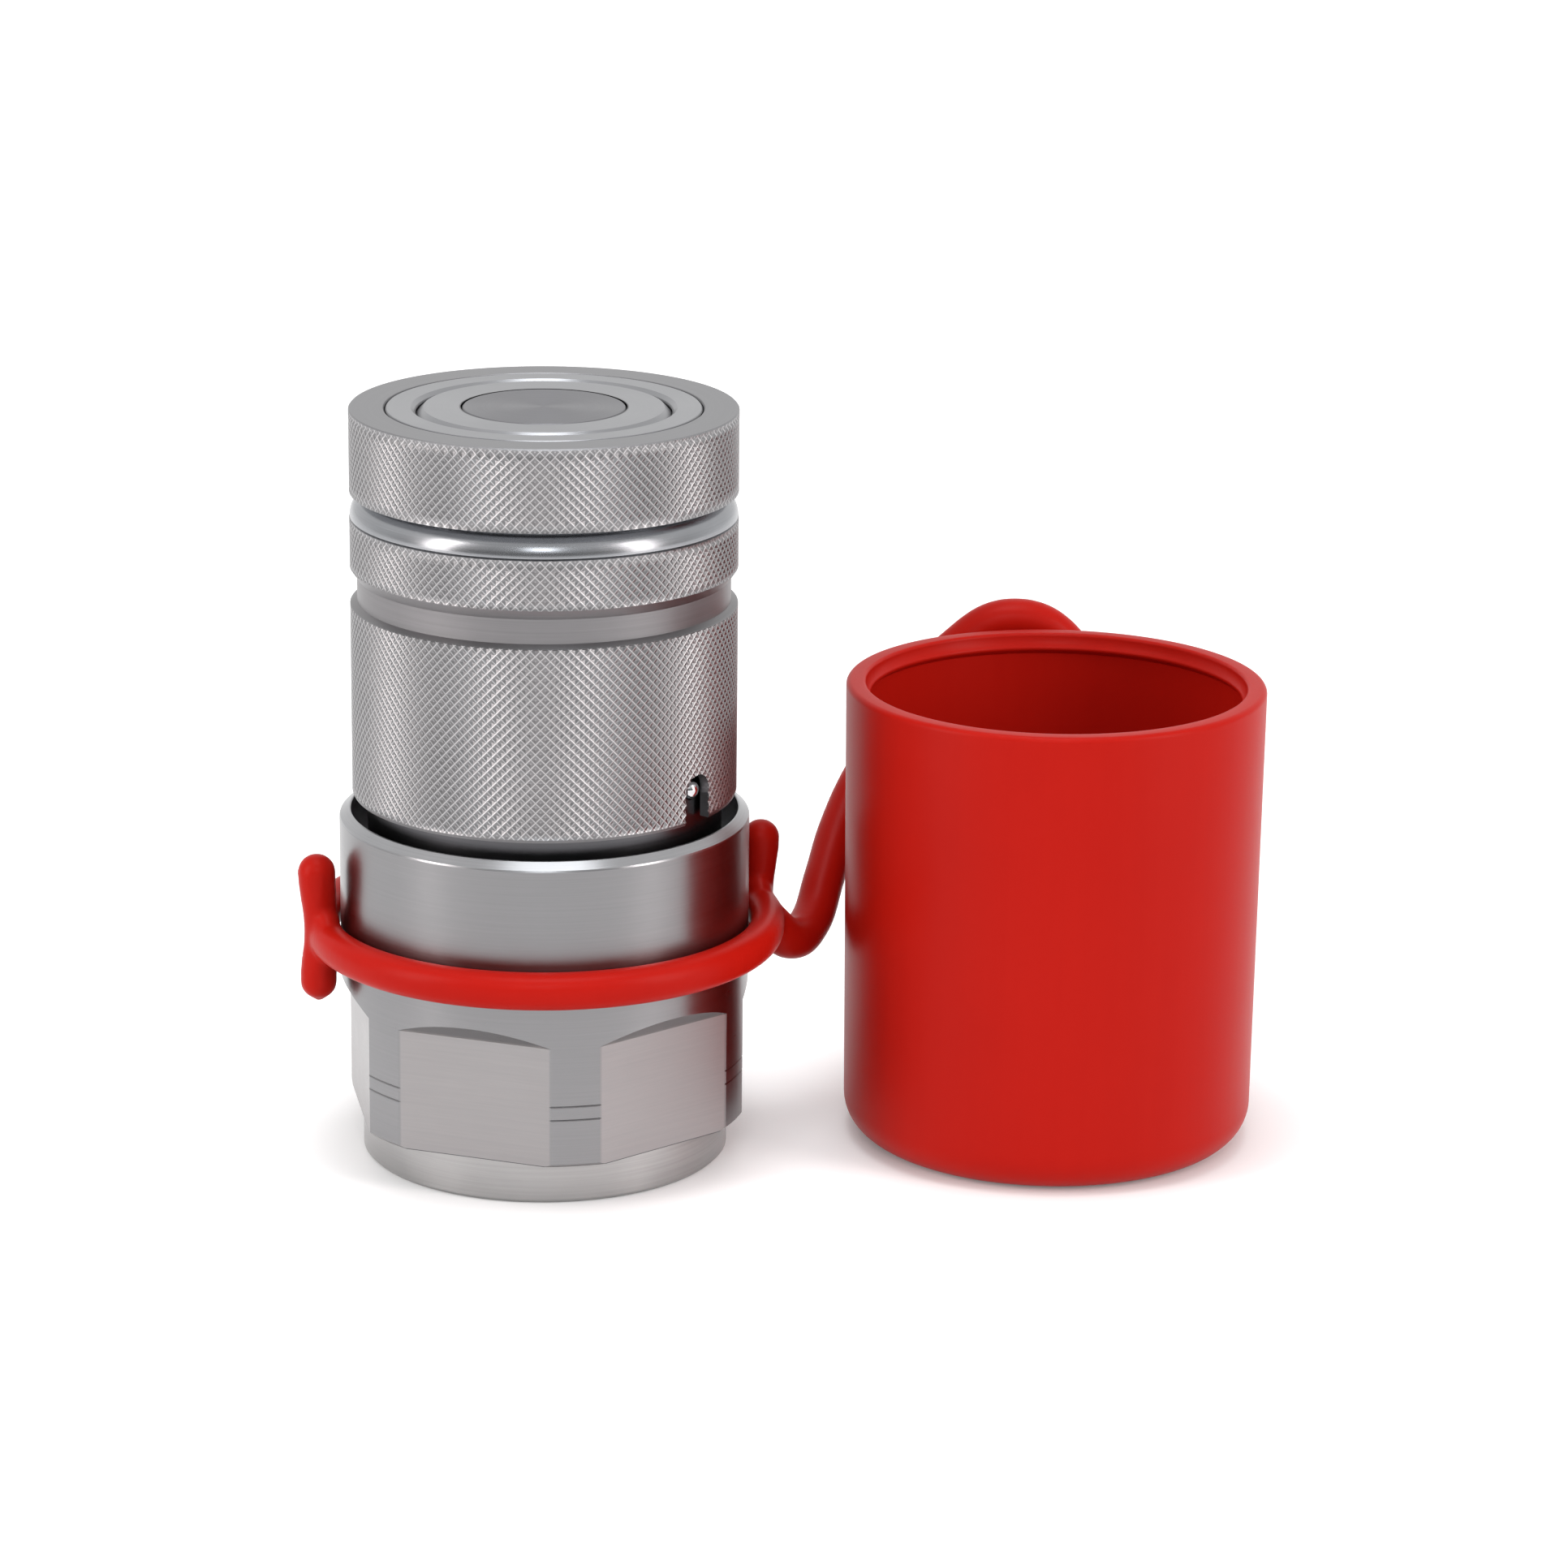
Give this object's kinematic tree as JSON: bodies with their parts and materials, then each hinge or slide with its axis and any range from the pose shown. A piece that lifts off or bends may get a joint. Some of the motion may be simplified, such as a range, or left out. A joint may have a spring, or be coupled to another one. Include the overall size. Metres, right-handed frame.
{
  "type": "flat face hydraulic coupler",
  "caption": "Female half of a push-to-connect flat face hydraulic coupler with a knurled locking sleeve, hexagon port end and a red dust cap on a tether ring.",
  "frame": {"origin": "centre of the port face, on the coupler's axis, where the coupler stands", "axes": "+Z along the coupler's axis towards the flat coupling face, +X towards the dust cap"},
  "size_m": [0.1386, 0.0825, 0.1094],
  "materials": {
    "plated_steel": "satin zinc plate on turned steel",
    "knurled_steel": "diamond knurled, zinc plated",
    "turned_steel": "fine turned, zinc plated",
    "stem_steel": "ground flat",
    "spring_steel": "drawn wire and pressed steel",
    "ball_steel": "polished bearing balls",
    "seal_rubber": "smooth moulded rubber",
    "backup_plastic": "cut plastic ring",
    "cap_plastic": "soft moulded vinyl, satin"
  },
  "bodies": {
    "coupler_body": {"adapter": "plated_steel", "socket_body": "turned_steel", "spider": "turned_steel", "stem": "stem_steel", "stem_nut": "turned_steel", "stem_seal": "seal_rubber", "nose_seal": "seal_rubber", "nose_backup_ring": "backup_plastic", "body_seal": "seal_rubber", "body_backup_ring": "backup_plastic", "sleeve_stop_ring": "spring_steel", "lock_ball": "ball_steel", "valve_spring": "spring_steel", "sleeve_spring": "spring_steel"},
    "valve": {"valve_sleeve": "turned_steel"},
    "sleeve": {"locking_sleeve": "knurled_steel", "spring_washer": "spring_steel"},
    "ball_01": {"locking_ball_01": "ball_steel"},
    "ball_02": {"locking_ball_02": "ball_steel"},
    "ball_03": {"locking_ball_03": "ball_steel"},
    "ball_04": {"locking_ball_04": "ball_steel"},
    "ball_05": {"locking_ball_05": "ball_steel"},
    "ball_06": {"locking_ball_06": "ball_steel"},
    "ball_07": {"locking_ball_07": "ball_steel"},
    "ball_08": {"locking_ball_08": "ball_steel"},
    "ball_09": {"locking_ball_09": "ball_steel"},
    "ball_10": {"locking_ball_10": "ball_steel"},
    "ball_11": {"locking_ball_11": "ball_steel"},
    "ball_12": {"locking_ball_12": "ball_steel"},
    "cap": {"dust_cap": "cap_plastic"}
  },
  "joints": [
    {"name": "valve_sleeve_slide", "type": "slide", "parent": "coupler_body", "child": "valve", "axis": [0, 0, 1], "range_m": [-0.022, 0], "stiffness_N_per_m": 1500, "springref_m": 0.016, "deforming": ["valve_spring"]},
    {"name": "locking_sleeve_slide", "type": "slide", "parent": "coupler_body", "child": "sleeve", "axis": [0, 0, 1], "range_m": [0, 0.0065], "deforming": ["sleeve_spring"]},
    {"name": "ball_01_slide", "type": "slide", "parent": "coupler_body", "child": "ball_01", "axis": [-1, 0, 0], "range_m": [0, 0.00225]},
    {"name": "ball_02_slide", "type": "slide", "parent": "coupler_body", "child": "ball_02", "axis": [-0.866, -0.5, 0], "range_m": [0, 0.00225]},
    {"name": "ball_03_slide", "type": "slide", "parent": "coupler_body", "child": "ball_03", "axis": [-0.5, -0.866, 0], "range_m": [0, 0.00225]},
    {"name": "ball_04_slide", "type": "slide", "parent": "coupler_body", "child": "ball_04", "axis": [0, -1, 0], "range_m": [0, 0.00225]},
    {"name": "ball_05_slide", "type": "slide", "parent": "coupler_body", "child": "ball_05", "axis": [0.5, -0.866, 0], "range_m": [0, 0.00225]},
    {"name": "ball_06_slide", "type": "slide", "parent": "coupler_body", "child": "ball_06", "axis": [0.866, -0.5, 0], "range_m": [0, 0.00225]},
    {"name": "ball_07_slide", "type": "slide", "parent": "coupler_body", "child": "ball_07", "axis": [1, 0, 0], "range_m": [0, 0.00225]},
    {"name": "ball_08_slide", "type": "slide", "parent": "coupler_body", "child": "ball_08", "axis": [0.866, 0.5, 0], "range_m": [0, 0.00225]},
    {"name": "ball_09_slide", "type": "slide", "parent": "coupler_body", "child": "ball_09", "axis": [0.5, 0.866, 0], "range_m": [0, 0.00225]},
    {"name": "ball_10_slide", "type": "slide", "parent": "coupler_body", "child": "ball_10", "axis": [0, 1, 0], "range_m": [0, 0.00225]},
    {"name": "ball_11_slide", "type": "slide", "parent": "coupler_body", "child": "ball_11", "axis": [-0.5, 0.866, 0], "range_m": [0, 0.00225]},
    {"name": "ball_12_slide", "type": "slide", "parent": "coupler_body", "child": "ball_12", "axis": [-0.866, 0.5, 0], "range_m": [0, 0.00225]},
    {"name": "dust_cap_swivel", "type": "hinge", "parent": "coupler_body", "child": "cap", "pos_m": [0, 0, 0], "axis": [0, 0, 1], "continuous": true}
  ],
  "couplings": [
    {"joint": "locking_sleeve_slide", "follows": "valve_sleeve_slide", "ratio": -0.29546},
    {"joint": "ball_01_slide", "follows": "valve_sleeve_slide", "ratio": -0.10227},
    {"joint": "ball_02_slide", "follows": "valve_sleeve_slide", "ratio": -0.10227},
    {"joint": "ball_03_slide", "follows": "valve_sleeve_slide", "ratio": -0.10227},
    {"joint": "ball_04_slide", "follows": "valve_sleeve_slide", "ratio": -0.10227},
    {"joint": "ball_05_slide", "follows": "valve_sleeve_slide", "ratio": -0.10227},
    {"joint": "ball_06_slide", "follows": "valve_sleeve_slide", "ratio": -0.10227},
    {"joint": "ball_07_slide", "follows": "valve_sleeve_slide", "ratio": -0.10227},
    {"joint": "ball_08_slide", "follows": "valve_sleeve_slide", "ratio": -0.10227},
    {"joint": "ball_09_slide", "follows": "valve_sleeve_slide", "ratio": -0.10227},
    {"joint": "ball_10_slide", "follows": "valve_sleeve_slide", "ratio": -0.10227},
    {"joint": "ball_11_slide", "follows": "valve_sleeve_slide", "ratio": -0.10227},
    {"joint": "ball_12_slide", "follows": "valve_sleeve_slide", "ratio": -0.10227}
  ]
}
